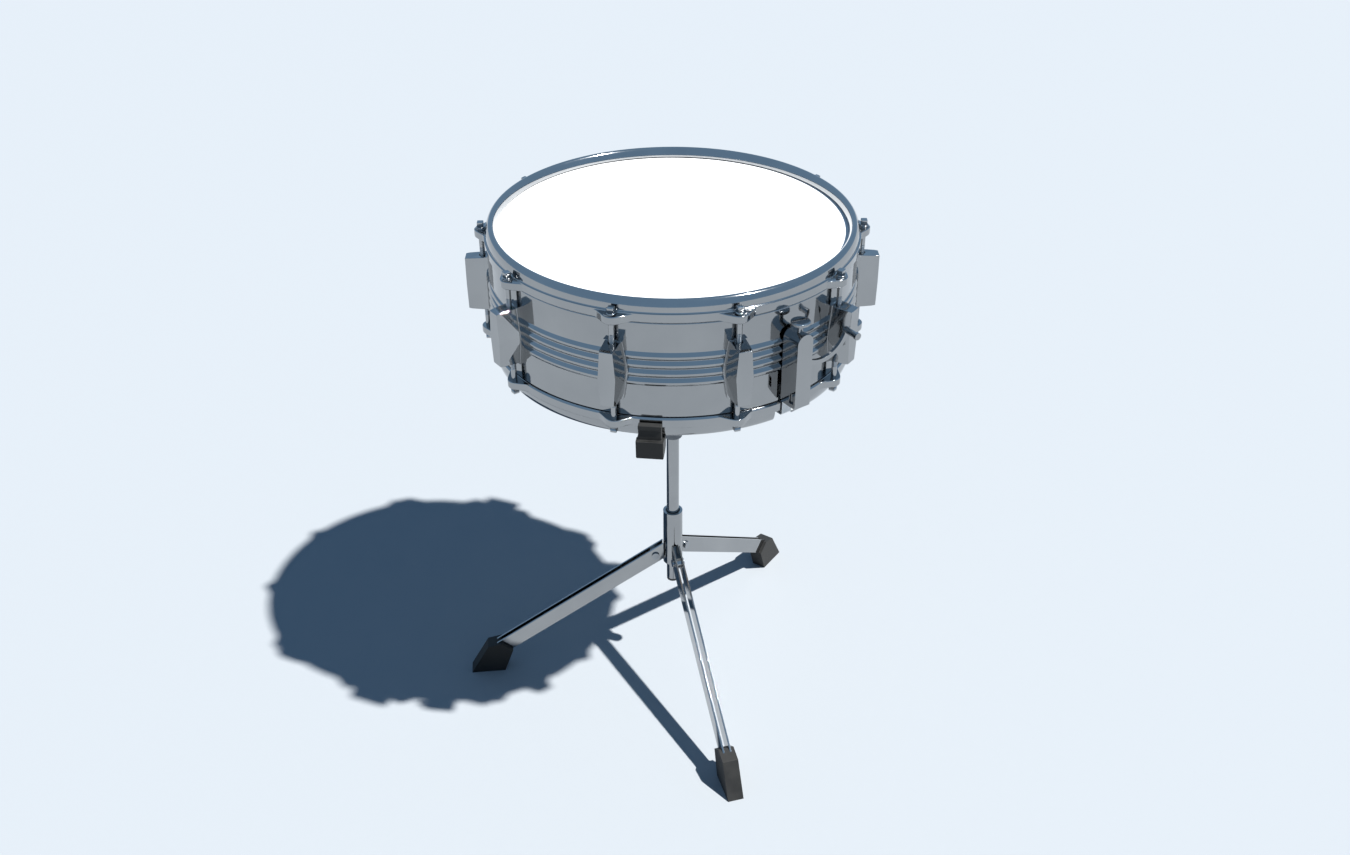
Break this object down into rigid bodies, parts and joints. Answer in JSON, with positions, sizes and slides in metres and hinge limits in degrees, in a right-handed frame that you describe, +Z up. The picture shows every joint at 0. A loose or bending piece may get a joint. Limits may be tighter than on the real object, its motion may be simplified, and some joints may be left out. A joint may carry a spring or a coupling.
{
  "type": "snare drum on stand",
  "caption": "Steel-shell snare drum with cast hoops, lugs and a throw-off strainer, held in an adjustable basket stand with folding legs.",
  "frame": {"origin": "on the floor, straight below the middle of the drum, on the axis of the stand's column", "axes": "+Z up along the column and the drum's axis; +X to the right and -Y towards the viewer of the strainer side"},
  "size_m": [0.4506, 0.4423, 0.579],
  "materials": {
    "polished_steel": "mirror-polished sheet steel",
    "chrome": "chrome plate on castings",
    "rod_steel": "chrome-plated steel rods, washers and screws",
    "head_film": "coated white polyester film",
    "clear_film": "thin hazy polyester film",
    "flesh_hoop": "pressed aluminium channel",
    "brass": "turned brass",
    "snare_steel": "coiled steel wire",
    "copper_plate": "copper-plated end plates",
    "strap": "plastic film strap",
    "black_plastic": "moulded black plastic",
    "stand_chrome": "chrome-plated steel tube and strip",
    "zinc_pins": "plated turned steel",
    "cast_metal": "satin grey castings",
    "rubber": "moulded black rubber"
  },
  "bodies": {
    "drum": {"shell": "polished_steel", "batter_head": "head_film", "batter_flesh_hoop": "flesh_hoop", "snare_side_head": "clear_film", "snare_side_flesh_hoop": "flesh_hoop", "top_hoop": "chrome", "bottom_hoop": "chrome", "lug_casing_1": "chrome", "lug_casing_2": "chrome", "lug_casing_3": "chrome", "lug_casing_4": "chrome", "lug_casing_5": "chrome", "lug_casing_6": "chrome", "lug_casing_7": "chrome", "lug_casing_8": "chrome", "lug_casing_9": "chrome", "lug_casing_10": "chrome", "swivel_nuts": "brass", "shell_screws": "rod_steel", "top_tension_rods": "rod_steel", "bottom_tension_rods": "rod_steel", "rod_washers": "rod_steel", "vent_grommet": "brass", "strainer_body": "chrome", "butt_plate": "chrome", "butt_clamp": "chrome", "butt_clamp_screws": "rod_steel"},
    "snares": {"snare_wires": "snare_steel", "snare_end_plates": "copper_plate", "snare_straps": "strap"},
    "slider": {"strainer_slider": "chrome", "strap_clamp": "chrome"},
    "lever": {"strainer_lever": "chrome", "lever_handle": "chrome"},
    "knob": {"tension_knob": "chrome"},
    "base": {"leg_collar": "stand_chrome", "guide_bush": "black_plastic", "leg_pins": "zinc_pins"},
    "right_leg": {"leg_right": "stand_chrome", "foot_right": "rubber"},
    "left_leg": {"leg_left": "stand_chrome", "foot_left": "rubber"},
    "front_leg": {"leg_front": "stand_chrome", "foot_front": "rubber"},
    "height_clamp": {"height_screw": "zinc_pins"},
    "column": {"column_tube": "stand_chrome", "column_plug": "black_plastic", "tilter_fork": "cast_metal"},
    "tilt_clamp": {"tilt_screw": "zinc_pins"},
    "basket": {"basket_stem": "stand_chrome", "basket_hub": "cast_metal", "basket_pins": "zinc_pins"},
    "collar": {"basket_collar": "zinc_pins"},
    "nut": {"basket_nut": "cast_metal"},
    "front_arm": {"arm_front": "stand_chrome", "grip_front": "rubber"},
    "right_arm": {"arm_right": "stand_chrome", "grip_right": "rubber"},
    "left_arm": {"arm_left": "stand_chrome", "grip_left": "rubber"}
  },
  "joints": [
    {"name": "right_leg_fold", "type": "hinge", "parent": "base", "child": "right_leg", "pos_m": [0.01143, 0.01701, 0.1556], "axis": [-0.83, 0.5577, 0], "range_deg": [0, 52]},
    {"name": "left_leg_fold", "type": "hinge", "parent": "base", "child": "left_leg", "pos_m": [-0.02038, -0.00225, 0.1556], "axis": [0.1097, -0.994, 0], "range_deg": [0, 52]},
    {"name": "front_leg_fold", "type": "hinge", "parent": "base", "child": "front_leg", "pos_m": [0.00575, -0.01968, 0.1556], "axis": [0.9598, 0.2807, 0], "range_deg": [0, 52]},
    {"name": "height_clamp_turn", "type": "hinge", "parent": "base", "child": "height_clamp", "pos_m": [0, 0.02, 0.203], "axis": [0, 1, 0], "range_deg": [-90, 90]},
    {"name": "column_slide", "type": "slide", "parent": "base", "child": "column", "axis": [0, 0, 1], "range_m": [-0.095, 0.06]},
    {"name": "tilt_clamp_turn", "type": "hinge", "parent": "column", "child": "tilt_clamp", "pos_m": [0, 0, 0.35], "axis": [1, 0, 0], "range_deg": [-90, 90]},
    {"name": "basket_tilt", "type": "hinge", "parent": "column", "child": "basket", "pos_m": [0, 0, 0.35], "axis": [1, 0, 0], "range_deg": [-25, 25]},
    {"name": "collar_slide", "type": "slide", "parent": "basket", "child": "collar", "axis": [0, 0, 1], "range_m": [0, 0.0031]},
    {"name": "nut_spin", "type": "hinge", "parent": "collar", "child": "nut", "pos_m": [0, 0, 0.374], "axis": [0, 0, 1], "range_deg": [0, 540]},
    {"name": "front_arm_open", "type": "hinge", "parent": "basket", "child": "front_arm", "pos_m": [-0.00324, -0.02983, 0.392], "axis": [0.9942, -0.108, 0], "range_deg": [0, 10.7]},
    {"name": "right_arm_open", "type": "hinge", "parent": "basket", "child": "right_arm", "pos_m": [0.02838, 0.00972, 0.392], "axis": [-0.3239, 0.9461, 0], "range_deg": [0, 10.75]},
    {"name": "left_arm_open", "type": "hinge", "parent": "basket", "child": "left_arm", "pos_m": [-0.02708, 0.01291, 0.392], "axis": [-0.4305, -0.9026, 0], "range_deg": [0, 10.75]},
    {"name": "drum_lift", "type": "slide", "parent": "basket", "child": "drum", "axis": [0, 0, 1], "range_m": [0, 0.12]},
    {"name": "lever_swing", "type": "hinge", "parent": "drum", "child": "lever", "pos_m": [0.11887, -0.16665, 0.505], "axis": [0.5807, -0.8141, 0], "range_deg": [-75, 0]},
    {"name": "slider_travel", "type": "slide", "parent": "drum", "child": "slider", "axis": [0, 0, 1], "range_m": [-0.0043, 0]},
    {"name": "snare_drop", "type": "hinge", "parent": "drum", "child": "snares", "pos_m": [-0.10906, 0.15289, 0.4433], "axis": [-0.8141, -0.5807, 0], "range_deg": [-0.66, 0]},
    {"name": "knob_turn", "type": "hinge", "parent": "drum", "child": "knob", "pos_m": [0.11585, -0.16242, 0.546], "axis": [0, 0, 1], "continuous": true}
  ],
  "couplings": [
    {"joint": "collar_slide", "follows": "front_arm_open", "m_per_rad": 0.016},
    {"joint": "nut_spin", "follows": "front_arm_open", "ratio": 50.266},
    {"joint": "right_arm_open", "follows": "front_arm_open", "ratio": 1},
    {"joint": "left_arm_open", "follows": "front_arm_open", "ratio": 1},
    {"joint": "slider_travel", "follows": "lever_swing", "m_per_rad": 0.003209},
    {"joint": "snare_drop", "follows": "lever_swing", "ratio": 0.008556}
  ]
}
